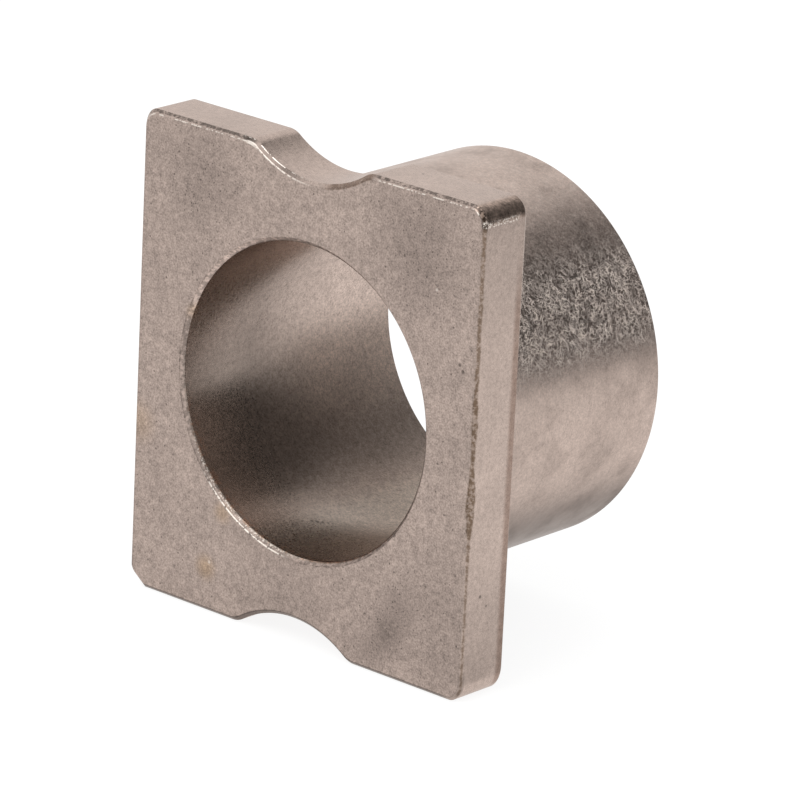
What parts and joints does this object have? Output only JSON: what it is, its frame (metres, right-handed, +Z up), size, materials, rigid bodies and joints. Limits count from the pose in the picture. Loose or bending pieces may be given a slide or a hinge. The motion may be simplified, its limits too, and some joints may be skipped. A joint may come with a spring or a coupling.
{
  "type": "transmission bushing",
  "caption": "One-piece sintered bushing: round sleeve with a through bore behind an upright plate flange with an arc notch in its top and bottom edges.",
  "frame": {"origin": "on the bore's axis, at the flange's rear seat face", "axes": "+Y along the level bore from the flange into the sleeve, as the bushing is pushed into its case; +Z up the flange's long side; +X across the flange"},
  "size_m": [0.0356, 0.0246, 0.0398],
  "materials": {
    "sintered_iron": "dull, finely porous pressed and sintered iron, burnished where the sleeve was sized"
  },
  "bodies": {
    "root": {"bushing": "sintered_iron"}
  },
  "joints": []
}
